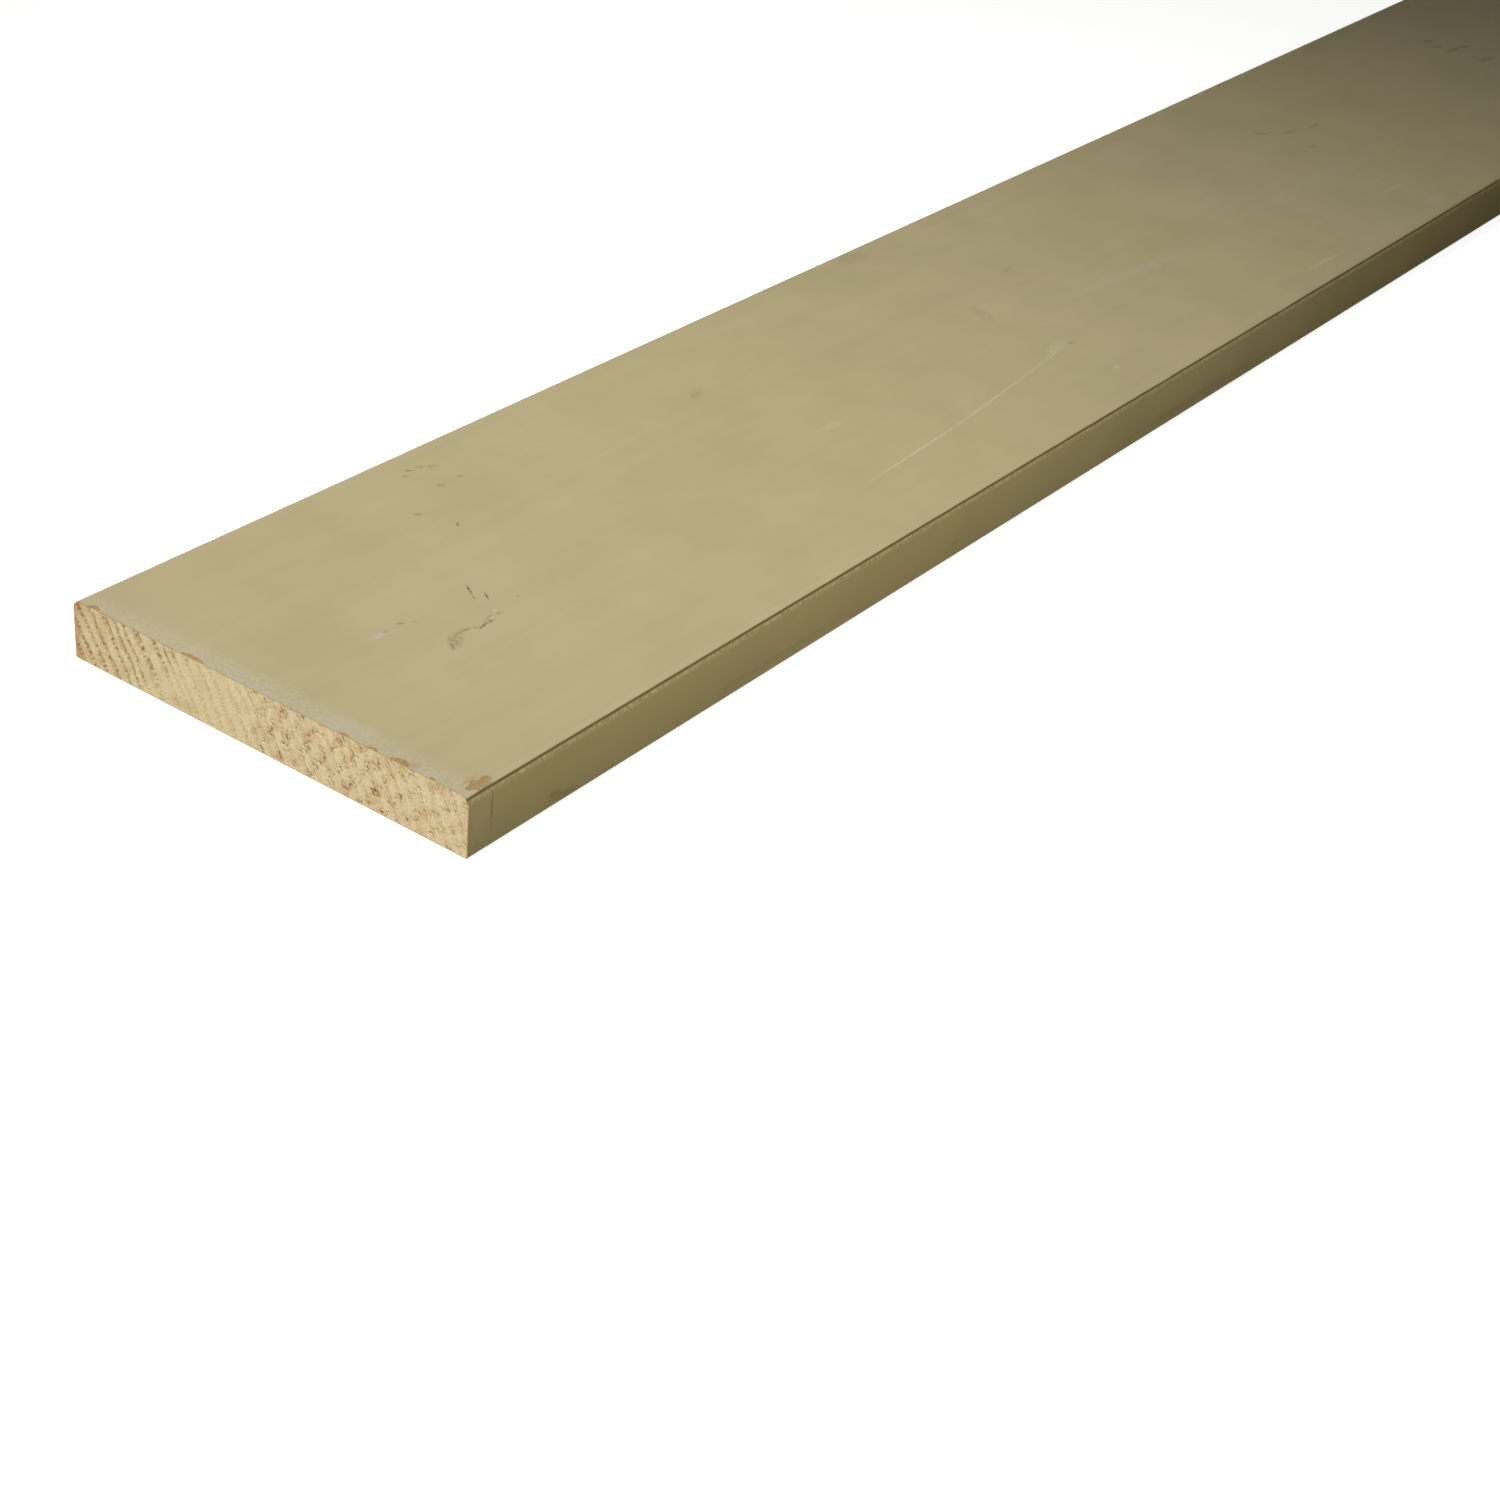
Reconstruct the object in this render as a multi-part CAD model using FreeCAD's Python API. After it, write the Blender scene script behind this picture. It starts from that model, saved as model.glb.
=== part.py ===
import FreeCAD, Part
import math
import os

# A planed softwood board, primed on its four long faces and bare on its two sawn ends.
# Frame: +X along the board, +Y across it, +Z up, with the origin at the centre of the underside.
# The -X end is the weathered one, where the primer is chipped. All sizes are in millimetres.

# The board over its primer.
board_length = 1200.0
board_width = 148.0
board_thickness = 19.0

# The planer eases the two arrises of the face and only breaks the two at the back.
face_arris_radius = 3.0
back_arris_radius = 0.6

# The dry primer film. The coat on the face runs a little way round its arrises. Each edge has a
# coat of its own, and a narrow open seam of bare timber is left between the two.
primer_thickness = 0.2
seam_width = 0.8
seam_angle = 48.0  # degrees round the arris, from the face towards the edge

# Primer broken away along the chipped end: the edge that the chip is measured from, -1 for -Y
# and 1 for +Y, the distance of its middle from that edge, its width, and its reach along X.
end_chips = [
    (-1, 13.0, 2.2, 1.0),
    (-1, 24.5, 6.5, 2.4),
    (-1, 34.0, 4.0, 1.2),
    (-1, 44.0, 4.0, 1.1),
    (1, 47.0, 9.0, 1.6),
    (1, 8.0, 4.5, 1.8),
]

# Primer knocked off beside the -Y arris at the chipped end: a lens with two curved sides.
corner_chip_start = 2.5  # from the chipped end
corner_chip_length = 9.5
corner_chip_inner = 4.6  # its side away from the arris, from the -Y edge
corner_chip_outer = 1.5  # its side at the arris, from the -Y edge

# A hairline crack that runs down the -Y edge coat near the chipped end.
crack_from_end = 9.2
crack_width = 0.25
crack_top = 1.9  # below the face
crack_length = 12.0

# Knots are the roots of dead branches, grown out from the pith below the +Y edge, so each
# is a slightly tapered peg that crosses the timber at a low angle and shows as an oval.
knot_places = {  # distance from the chipped end, and from the board's middle line, at the face
    "knot_near": (128.0, 53.0),
    "knot_middle": (650.0, 18.0),
    "knot_far": (835.0, 24.0),
}
knot_diameter = 9.0  # across the grain of the branch, at the face
knot_rise = 28.0  # degrees between the branch and the face
knot_taper = 2.0  # degrees that each side narrows by towards the pith

chipped_end = -board_length / 2
half_width = board_width / 2

# The centre line of each pair of arrises: its distance from the middle of the board, and its height.
face_arris = (half_width - face_arris_radius, board_thickness - face_arris_radius)
back_arris = (half_width - back_arris_radius, back_arris_radius)


def arris_arc(side, arris, radius, start, end):
    """An arc about an arris's centre line: 0 degrees is straight up, 90 outwards, 180 down."""
    centre_across, centre_height = arris
    points = []
    for degrees in (start, (start + end) / 2, end):
        angle = math.radians(degrees)
        across = centre_across + radius * math.sin(angle)
        height = centre_height + radius * math.cos(angle)
        points.append(FreeCAD.Vector(chipped_end, side * across, height))
    return Part.Arc(*points).toShape()


def extrude_section(arcs):
    """Join arcs with straight lines into one closed section, and run it along the board."""
    edges = []
    for index, arc in enumerate(arcs):
        following = arcs[(index + 1) % len(arcs)]
        edges.append(arc)
        gap_start = arc.lastVertex(True).Point
        gap_end = following.firstVertex(True).Point
        edges.append(Part.makeLine(gap_start, gap_end))
    section = Part.Face(Part.Wire(edges))
    return section.extrude(FreeCAD.Vector(board_length, 0, 0))


def make_timber_blank():
    """The planed board without its primer, before the knots are taken out of it."""
    face_radius = face_arris_radius - primer_thickness
    back_radius = back_arris_radius - primer_thickness
    return extrude_section([
        arris_arc(1, face_arris, face_radius, 0, 90),
        arris_arc(1, back_arris, back_radius, 90, 180),
        arris_arc(-1, back_arris, back_radius, 180, 90),
        arris_arc(-1, face_arris, face_radius, 90, 0),
    ])


def make_knot(place):
    """The branch root that meets the face at one place, as a long tapered peg."""
    from_end, from_middle = place
    rise = math.radians(knot_rise)
    outward = FreeCAD.Vector(0, -math.cos(rise), math.sin(rise))
    middle = FreeCAD.Vector(chipped_end + from_end, from_middle, board_thickness)
    reach = 2 * board_thickness / math.sin(rise)
    narrowing = reach * math.tan(math.radians(knot_taper))
    inner_radius = knot_diameter / 2 - narrowing
    outer_radius = knot_diameter / 2 + narrowing
    return Part.makeCone(inner_radius, outer_radius, 2 * reach, middle - outward * reach, outward)


def seam_half_angle():
    """Half the angle that the open seam takes up on the arris, in degrees."""
    return math.degrees(seam_width / 2 / face_arris_radius)


def make_end_chip(side, from_edge, chip_width, chip_reach):
    """A cutter for one chip at the end: the segment of a circle that bulges into the board."""
    middle = side * (half_width - from_edge)
    low = board_thickness - 2 * primer_thickness
    start = FreeCAD.Vector(chipped_end, middle - chip_width / 2, low)
    tip = FreeCAD.Vector(chipped_end + chip_reach, middle, low)
    finish = FreeCAD.Vector(chipped_end, middle + chip_width / 2, low)
    outline = Part.Wire([Part.Arc(start, tip, finish).toShape(), Part.makeLine(finish, start)])
    return Part.Face(outline).extrude(FreeCAD.Vector(0, 0, 4 * primer_thickness))


def make_corner_chip():
    """A cutter for the chip beside the -Y arris: a lens between two arcs."""
    low = board_thickness - face_arris_radius
    ends_across = (corner_chip_inner + corner_chip_outer) / 2 - half_width
    start_x = chipped_end + corner_chip_start
    middle_x = start_x + corner_chip_length / 2
    start = FreeCAD.Vector(start_x, ends_across, low)
    finish = FreeCAD.Vector(start_x + corner_chip_length, ends_across, low)
    inner = FreeCAD.Vector(middle_x, corner_chip_inner - half_width, low)
    outer = FreeCAD.Vector(middle_x, corner_chip_outer - half_width, low)
    outline = Part.Wire([
        Part.Arc(start, inner, finish).toShape(),
        Part.Arc(finish, outer, start).toShape(),
    ])
    return Part.Face(outline).extrude(FreeCAD.Vector(0, 0, 2 * face_arris_radius))


def make_face_coat():
    """The primer on the face, round both arrises as far as the seams, with its chips out."""
    inner_radius = face_arris_radius - primer_thickness
    end_angle = seam_angle - seam_half_angle()
    coat = extrude_section([
        arris_arc(-1, face_arris, face_arris_radius, end_angle, 0),
        arris_arc(1, face_arris, face_arris_radius, 0, end_angle),
        arris_arc(1, face_arris, inner_radius, end_angle, 0),
        arris_arc(-1, face_arris, inner_radius, 0, end_angle),
    ])
    cutters = [make_end_chip(*chip) for chip in end_chips]
    cutters.append(make_corner_chip())
    return coat.cut(cutters)


def make_edge_coat(side):
    """The primer on one edge, from the seam on the face arris to the underside."""
    face_inner_radius = face_arris_radius - primer_thickness
    back_inner_radius = back_arris_radius - primer_thickness
    start_angle = seam_angle + seam_half_angle()
    return extrude_section([
        arris_arc(side, face_arris, face_arris_radius, start_angle, 90),
        arris_arc(side, back_arris, back_arris_radius, 90, 180),
        arris_arc(side, back_arris, back_inner_radius, 180, 90),
        arris_arc(side, face_arris, face_inner_radius, 90, start_angle),
    ])


def make_crack():
    """A cutter for the hairline crack in the -Y edge coat, right through the film."""
    low = board_thickness - crack_top - crack_length
    corner = FreeCAD.Vector(chipped_end + crack_from_end, -half_width - primer_thickness, low)
    return Part.makeBox(crack_width, 3 * primer_thickness, crack_length, corner)


def make_underside_coat():
    """The primer on the underside, a flat film between the two edge coats."""
    coat_width = board_width - 2 * back_arris_radius
    corner = FreeCAD.Vector(chipped_end, -coat_width / 2, 0)
    return Part.makeBox(board_length, coat_width, primer_thickness, corner)


def make_pieces():
    """Every piece of the board, by the name of its node."""
    blank = make_timber_blank()
    pegs = {name: make_knot(place) for name, place in knot_places.items()}
    pieces = {name: blank.common(peg) for name, peg in pegs.items()}
    pieces["timber"] = blank.cut(list(pegs.values()))
    pieces["face_coat"] = make_face_coat()
    pieces["right_edge_coat"] = make_edge_coat(-1).cut(make_crack())
    pieces["left_edge_coat"] = make_edge_coat(1)
    pieces["underside_coat"] = make_underside_coat()
    return pieces


os.makedirs("parts", exist_ok=True)
for node, shape in make_pieces().items():
    solids = shape.Solids
    print(node, "valid", shape.isValid(), "solids", len(solids), "volume", round(shape.Volume, 1))
    solids[0].exportStep("parts/" + node + ".step")
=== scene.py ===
import math

import bmesh
import bpy
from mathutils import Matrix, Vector, noise


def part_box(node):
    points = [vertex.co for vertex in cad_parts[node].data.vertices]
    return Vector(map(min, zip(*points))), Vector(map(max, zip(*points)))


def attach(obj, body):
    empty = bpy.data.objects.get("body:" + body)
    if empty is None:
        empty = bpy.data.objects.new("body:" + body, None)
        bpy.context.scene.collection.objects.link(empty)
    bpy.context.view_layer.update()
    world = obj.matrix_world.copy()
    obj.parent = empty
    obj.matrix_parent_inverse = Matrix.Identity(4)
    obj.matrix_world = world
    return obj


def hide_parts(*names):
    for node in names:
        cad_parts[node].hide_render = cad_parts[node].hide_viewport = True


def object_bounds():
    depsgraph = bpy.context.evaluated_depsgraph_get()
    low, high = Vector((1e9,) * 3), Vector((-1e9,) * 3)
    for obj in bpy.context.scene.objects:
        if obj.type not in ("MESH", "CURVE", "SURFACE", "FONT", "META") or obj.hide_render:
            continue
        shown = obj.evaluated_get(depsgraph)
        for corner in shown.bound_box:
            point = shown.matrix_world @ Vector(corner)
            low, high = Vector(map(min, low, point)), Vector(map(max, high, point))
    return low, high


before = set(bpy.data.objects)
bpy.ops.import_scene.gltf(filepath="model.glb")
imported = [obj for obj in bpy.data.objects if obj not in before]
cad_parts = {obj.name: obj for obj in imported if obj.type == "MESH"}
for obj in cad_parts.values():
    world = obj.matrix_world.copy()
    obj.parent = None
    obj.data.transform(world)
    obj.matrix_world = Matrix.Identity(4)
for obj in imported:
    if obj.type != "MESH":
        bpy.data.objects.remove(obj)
cad_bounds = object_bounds()


# ---------------------------------------------------------------------------------------------
# Timber. One length of kiln-dried pine, planed on its long faces and cross-cut at both ends
# with a circular saw. The knots are grown into it, and every coat of primer sticks to it.
# ---------------------------------------------------------------------------------------------
MM = 0.001
timber_low, timber_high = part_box("timber")
timber_length = timber_high.x - timber_low.x
timber_middle = (timber_low + timber_high) / 2
FACE_EASING = 2.8 * MM   # the planer's rounding along the two arrises of the face
BACK_EASING = 0.4 * MM   # the back is only just broken
OVERSIZE = 1 * MM        # a blank is this much larger than the piece that is cut from it
SAME_PLACE = 0.001 * MM  # points closer than this are taken to be one
BORE_ROOM = 1.002        # a bore is this much larger than its knot, so that it opens through
FIBRE_STEP = 0.3 * MM    # spacing of the points that carry the torn end grain
END_LAYER = 0.01 * MM    # a point this near to an end belongs to the sawn surface
KNOTS = ("knot_near", "knot_middle", "knot_far")


def select_only(*pieces):
    """Leave just these objects selected, the first of them active."""
    bpy.ops.object.select_all(action="DESELECT")
    for piece in pieces:
        piece.select_set(True)
    bpy.context.view_layer.objects.active = pieces[0]


def add_shape(name, primitive, stretch=(1, 1, 1), **settings):
    """Add one primitive at its size and place, and let its mesh carry both."""
    bpy.ops.object.select_all(action="DESELECT")
    primitive(**settings)
    bpy.context.object.scale = stretch
    bpy.ops.object.transform_apply(location=True, rotation=True, scale=True)
    shape = bpy.context.object
    shape.name = name
    return shape


def edit_parts(piece, kind, wanted):
    """Go into edit mode with only the wanted vertices, edges or faces of a piece selected."""
    select_only(piece)
    bpy.ops.object.mode_set(mode="EDIT")
    bpy.ops.mesh.select_mode(type=kind)
    bpy.ops.mesh.select_all(action="DESELECT")
    mesh = bmesh.from_edit_mesh(piece.data)
    for part in {"VERT": mesh.verts, "EDGE": mesh.edges, "FACE": mesh.faces}[kind]:
        if wanted(part):
            part.select_set(True)
    bmesh.update_edit_mesh(piece.data)


def leave_edit():
    """Go back to object mode, which writes the edit into the mesh."""
    bpy.ops.object.mode_set(mode="OBJECT")


def combine(piece, other, operation):
    """Cut, join or intersect a piece with another shape, which is used up."""
    select_only(piece)
    step = piece.modifiers.new(operation, "BOOLEAN")
    step.operation = operation
    step.solver = "EXACT"
    step.object = other
    bpy.ops.object.modifier_apply(modifier=step.name)
    bpy.data.objects.remove(other)


def long_edge(height):
    """A test for an edge that runs along the board at one height."""
    def test(edge):
        start, finish = [vertex.co for vertex in edge.verts]
        level = all(abs(end.z - height) < SAME_PLACE for end in (start, finish))
        return level and abs(start.x - finish.x) > MM
    return test


def smooth(value, start, finish):
    """0 before start, 1 after finish, and smooth between them."""
    share = min(max((value - start) / (finish - start), 0.0), 1.0)
    return share * share * (3 - 2 * share)


# The sawn ends, in millimetres unless said otherwise. A pair is where a change starts and where
# it is complete.
PITH_ACROSS = 440.0         # the tree's centre lay this far across and below
PITH_HEIGHT = -219.0
RING_WIDTH = 4.1            # one year's growth
RING_WAVE = 7.0             # the rings waver over this length ...
RING_WAVER = 0.9            # ... by this much
GOOD_YEARS = 9.0            # good and bad years come in runs of this width ...
GOOD_SHIFT = 2.0            # ... and move the rings by this much
RING_RUN = (0.51, 0.86)     # the way the rings run, across and up
LATE_START = (0.35, 0.75)   # latewood darkens over this share of a ring ...
LATE_STOP = (0.85, 1.0)     # ... and ends sharply over this one
SAW_ACROSS = -90.0          # the middle of the saw's curved marks
SAW_HEIGHT = -36.0
SAW_STEP = 5.5
SAW_WAVER = 1.8
FINE_ZONE = (22.0, 32.0)    # the saw cut cleanly up to here, from the +Y edge ...
FINE_LEAN = 0.95            # ... and this much further for each millimetre of height
TORN_ZONE = (64.0, 80.0)    # it tore the fibres out from here on ...
CALM_ZONE = (116.0, 134.0)  # ... and less so again towards the -Y edge
FAR_FINE = 0.45             # the far end was cut evenly: one share of each all over it
FAR_TORN = 0.5
FAR_SLICE = 40.0            # how far along the same noise the far end is taken
PIT_ACROSS = 0.62           # a pit's size across and along the rings
PIT_ALONG = 1.0
PIT_EDGE = (0.3, 0.54)      # a pit fades out over this share of its size
PIT_CROWD = 2.3             # the size of a cluster of pits
DASH_ACROSS = 1.3           # latewood lines break up into dashes of this size
DASH_ALONG = 0.7
ARRIS_SHADE_AND_STAIN = (0.8, 3.5)      # painted shade of the rounded arris, with primer stain, browns this much of the +Y edge
STAIN_SIZE = 5.0
FUZZ_SIZE = 0.7
CUT_DEPTH = 0.03            # how far the surface sinks everywhere, ...
PIT_DEPTH = 0.32            # ... further in a pit, ...
STREAK_DEPTH = 0.06         # ... in a latewood line ...
FUZZ_DEPTH = 0.08           # ... and between tufts of fibre
CALMER = 0.45               # how much less the -Y side is torn than the middle
POLISH = 0.95               # how much of a pit the saw's polished marks close
SMOOTHING = 0.6             # how much of the fuzz they lay flat
LATE_CROWD = 0.4            # pits crowd along the latewood, by this share
CROWD_EDGE = (-0.15, 0.2)   # and come only where the crowd passes these values


def end_grain(across, height, chipped):
    """Streak, pit, brownness, and depth in millimetres, of the sawn end at one point of it.

    Latewood lines run round the pith. Where the saw tore the fibres out, between its polished
    curved marks, they left pits. The wood is browner and finer cut towards the +Y edge, and
    browner still at that edge, with primer stain and painted shade of the rounded arris. The
    plain numbers are shares of one, which weigh one of these effects against another.
    """
    spot = Vector((across, height, 0.0 if chipped else FAR_SLICE))
    wobble = noise.noise(spot / RING_WAVE)
    radius = math.hypot(across - PITH_ACROSS, height - PITH_HEIGHT) + RING_WAVER * wobble
    radius += GOOD_SHIFT * noise.noise(Vector((radius / GOOD_YEARS, spot.z, 0.0)))
    along = RING_RUN[0] * across + RING_RUN[1] * height
    phase = (radius / RING_WIDTH) % 1.0
    late = smooth(phase, *LATE_START) * (1 - smooth(phase, *LATE_STOP))

    saw = math.hypot(across - SAW_ACROSS, height - SAW_HEIGHT) + SAW_WAVER * wobble
    saw_mark = 0.5 + 0.5 * math.sin(math.tau * saw / SAW_STEP)
    from_left = timber_high.y / MM - across
    lean = FINE_LEAN * height
    fine_cut = 1 - smooth(from_left, FINE_ZONE[0] + lean, FINE_ZONE[1] + lean)
    torn = smooth(from_left, *TORN_ZONE) * (1 - CALMER * smooth(from_left, *CALM_ZONE))
    if not chipped:
        fine_cut, torn = FAR_FINE, FAR_TORN

    cell = noise.voronoi(Vector((radius / PIT_ACROSS, along / PIT_ALONG, spot.z)))[0][0]
    crowd = noise.noise(spot / PIT_CROWD) + LATE_CROWD * late + 0.05
    pit = (1 - smooth(cell, *PIT_EDGE)) * smooth(crowd, *CROWD_EDGE) * (1 - POLISH * saw_mark)
    pit *= 0.18 + 0.82 * torn

    dashes = noise.noise(Vector((radius / DASH_ACROSS, along / DASH_ALONG, spot.z)))
    streak = late * (0.22 + 0.45 * fine_cut) * (0.7 + 1.8 * dashes)
    # painted shade of the rounded +Y arris, with primer stain
    brown = 0.12 * fine_cut + 0.8 * (1 - smooth(from_left, *ARRIS_SHADE_AND_STAIN))
    brown += 0.6 * noise.noise(spot / STAIN_SIZE)
    brown += 0.3 * torn * (1 - saw_mark)

    fuzz = 0.5 + 0.5 * noise.noise(spot / FUZZ_SIZE)
    depth = CUT_DEPTH + PIT_DEPTH * pit + STREAK_DEPTH * max(streak, 0)
    depth += FUZZ_DEPTH * fuzz * (1 - SMOOTHING * saw_mark)
    return max(streak, 0.0), pit, brown, depth


def make_timber():
    """Plane a bar with eased arrises, bore it for its knots, and give it finely gridded ends.

    A block with gridded ends is cut down to the bar, so that only the ends carry the fine grid.
    """
    width = timber_high.y - timber_low.y
    height = timber_high.z - timber_low.z
    bar = add_shape("bar", bpy.ops.mesh.primitive_cube_add, size=1, location=timber_middle,
                    stretch=(timber_length + 2 * OVERSIZE, width, height))
    edit_parts(bar, "EDGE", long_edge(timber_high.z))
    bpy.ops.mesh.bevel(offset=FACE_EASING, segments=10)
    leave_edit()
    edit_parts(bar, "EDGE", long_edge(timber_low.z))
    bpy.ops.mesh.bevel(offset=BACK_EASING, segments=3)
    leave_edit()
    for name in KNOTS:
        select_only(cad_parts[name])
        bpy.ops.object.duplicate()
        knot = bpy.context.object
        edit_parts(knot, "VERT", lambda vertex: True)
        bpy.ops.mesh.remove_doubles(threshold=SAME_PLACE)
        bpy.ops.transform.resize(value=(BORE_ROOM, BORE_ROOM, BORE_ROOM))
        leave_edit()
        combine(bar, knot, "DIFFERENCE")

    board = add_shape("board_timber", bpy.ops.mesh.primitive_grid_add, size=1,
                      x_subdivisions=round(width / FIBRE_STEP),
                      y_subdivisions=round(height / FIBRE_STEP),
                      location=(timber_low.x, timber_middle.y, timber_middle.z),
                      rotation=(math.pi / 2, 0, math.pi / 2),
                      stretch=(width + OVERSIZE, height + OVERSIZE, 1))
    edit_parts(board, "FACE", lambda face: True)
    bpy.ops.mesh.extrude_region_move(TRANSFORM_OT_translate={"value": (timber_length, 0, 0)})
    bpy.ops.mesh.select_all(action="SELECT")
    bpy.ops.mesh.normals_make_consistent(inside=False)
    leave_edit()
    combine(board, bar, "INTERSECT")
    return board


def wear_ends(board):
    """Sink the sawn ends along their fibres, and keep what the end-grain material draws from."""
    kept = [board.data.attributes.new(name, "FLOAT", "POINT")
            for name in ("streak", "pit", "brown")]
    for index, vertex in enumerate(board.data.vertices):
        from_chipped = vertex.co.x - timber_low.x
        from_far = timber_high.x - vertex.co.x
        if min(from_chipped, from_far) > END_LAYER:
            continue
        chipped = from_chipped < from_far
        *shares, depth = end_grain(vertex.co.y / MM, vertex.co.z / MM, chipped)
        for attribute, share in zip(kept, shares):
            attribute.data[index].value = share
        vertex.co.x += depth * MM if chipped else -depth * MM


def linear(hex_colour):
    """An sRGB hex colour as the linear RGBA that a colour socket takes."""
    shares = [int(hex_colour[start:start + 2], 16) / 255 for start in (1, 3, 5)]
    return [c / 12.92 if c <= 0.04045 else ((c + 0.055) / 1.055) ** 2.4 for c in shares] + [1.0]


def add(nodes, kind, inputs=None, **settings):
    """Add one shader node. Each input is a plain value, or the output socket that feeds it."""
    made = nodes.new("ShaderNode" + kind)
    for name, value in settings.items():
        setattr(made, name, value)
    for name, value in (inputs or {}).items():
        if isinstance(value, bpy.types.NodeSocket):
            made.id_data.links.new(value, made.inputs[name])
        else:
            made.inputs[name].default_value = value
    return made.outputs[2] if kind == "Mix" and made.data_type == "RGBA" else made.outputs[0]


def new_material(name, roughness, ior):
    """A material with its constant values set, its nodes, its shader, and Object coordinates in mm.

    The coordinates run from the chipped end, the middle of the board and its underside.
    """
    material = bpy.data.materials.new(name)
    material.use_nodes = True
    nodes = material.node_tree.nodes
    shader = nodes["Principled BSDF"]
    shader.inputs["Roughness"].default_value = roughness
    shader.inputs["IOR"].default_value = ior
    place = nodes.new("ShaderNodeTexCoord").outputs["Object"]
    start = (-timber_low.x / MM, 0.0, 0.0)
    scale = (1 / MM, 1 / MM, 1 / MM)
    place = add(nodes, "Mapping", {"Vector": place, "Location": start, "Scale": scale})
    return material, nodes, shader, place


def sawn_pine():
    """Cross-cut pine: pale dry earlywood, browner latewood lines, and dark torn pits.

    The fuzz of cut fibres, in tufts about 0.7 mm wide, keeps the end from shining.
    """
    material, nodes, shader, place = new_material("pine_sawn_end_grain", 0.85, 1.45)
    link = material.node_tree.links.new
    share = {}
    for name in ("streak", "pit", "brown"):
        add(nodes, "Attribute", attribute_name=name)
        share[name] = nodes[-1].outputs["Fac"]
    colour = add(nodes, "Mix", {0: share["brown"], 6: linear("#e6d3a3"), 7: linear("#d3a977")},
                 data_type="RGBA")
    colour = add(nodes, "Mix", {0: share["streak"], 6: colour, 7: linear("#9c7843")},
                 data_type="RGBA")
    fibre = add(nodes, "TexNoise", {"Vector": place, "Scale": 1.3, "Detail": 2.0})
    fibre = add(nodes, "MapRange", {"Value": fibre, 1: 0.3, 2: 0.7, 3: 0.86, 4: 1.1})
    colour = add(nodes, "Mix", {0: 1.0, 6: colour, 7: fibre}, data_type="RGBA",
                 blend_type="MULTIPLY")
    colour = add(nodes, "Mix", {0: share["pit"], 6: colour, 7: linear("#785223")},
                 data_type="RGBA")
    link(colour, shader.inputs["Base Color"])
    fuzz = add(nodes, "TexNoise", {"Vector": place, "Scale": 1.6, "Detail": 3.0})
    link(add(nodes, "Bump", {"Height": fuzz, "Distance": 0.2 * MM, "Strength": 0.7}),
         shader.inputs["Normal"])
    return material


SEAM_START = 1.5  # the seams' painted shade starts this far in from the timber's edges, in millimetres ...
SEAM_FULL = 1.1   # ... and is full from here outwards


def planed_pine():
    """Planed pine along the grain, seen only where the primer is off: warm brown, with lines
    about 1 mm wide, and a dull olive brown in the seams, painted shade of the narrow gap there.
    """
    material, nodes, shader, place = new_material("pine_planed_long_grain", 0.7, 1.45)
    link = material.node_tree.links.new
    drawn = add(nodes, "Mapping", {"Vector": place, "Scale": (0.12, 0.9, 0.9)})
    lines = add(nodes, "TexNoise", {"Vector": drawn, "Scale": 1.0, "Detail": 4.0})
    lines = add(nodes, "MapRange", {"Value": lines, 1: 0.3, 2: 0.7, 3: 0.0, 4: 1.0})
    colour = add(nodes, "Mix", {0: lines, 6: linear("#886b40"), 7: linear("#ae9767")},
                 data_type="RGBA")
    add(nodes, "SeparateXYZ", {"Vector": place})
    across = add(nodes, "Math", {0: nodes[-1].outputs["Y"]}, operation="ABSOLUTE")
    edge = timber_high.y / MM
    # painted shade: the narrow seams between the coats darken to a dull olive brown
    seam = add(nodes, "MapRange", {"Value": across, 1: edge - SEAM_START, 2: edge - SEAM_FULL,
                                   3: 0.0, 4: 1.0})
    colour = add(nodes, "Mix", {0: seam, 6: colour, 7: linear("#6b6038")}, data_type="RGBA")
    link(colour, shader.inputs["Base Color"])
    link(add(nodes, "Bump", {"Height": lines, "Distance": 0.15 * MM, "Strength": 0.6}),
         shader.inputs["Normal"])
    return material


timber = make_timber()
wear_ends(timber)
timber.data.materials.append(planed_pine())
timber.data.materials.append(sawn_pine())
for face in timber.data.polygons:
    face.material_index = 1 if abs(face.normal.x) > 0.5 else 0
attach(timber, "root")
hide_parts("timber")


# ---------------------------------------------------------------------------------------------
# Knots. The roots of three dead branches, harder and darker than the board and grown round by
# it. They are bored in the timber at the branches' angle and lie hidden under the primer.
# ---------------------------------------------------------------------------------------------
BRANCH_TILT = math.radians(62.0)  # from upright


def knot_wood():
    """Resin-soaked branch wood: rings about 1 mm apart round the branch, reddish brown to dark
    brown, with the slight gloss of resin."""
    material, nodes, shader, place = new_material("pine_knot", 0.45, 1.5)
    link = material.node_tree.links.new
    along = add(nodes, "Mapping", {"Vector": place, "Rotation": (-BRANCH_TILT, 0, 0)})
    rings = add(nodes, "TexWave", {"Vector": along, "Scale": 0.35, "Distortion": 3.0,
                                   "Detail": 2.0}, wave_type="RINGS", rings_direction="Z")
    colour = add(nodes, "Mix", {0: rings, 6: linear("#4a2a16"), 7: linear("#8a5630")},
                 data_type="RGBA")
    link(colour, shader.inputs["Base Color"])
    link(add(nodes, "Bump", {"Height": rings, "Distance": 0.1 * MM, "Strength": 0.4}),
         shader.inputs["Normal"])
    return material


knot_material = knot_wood()
for name in KNOTS:
    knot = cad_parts[name]
    knot.data.materials.clear()
    knot.data.materials.append(knot_material)


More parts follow.
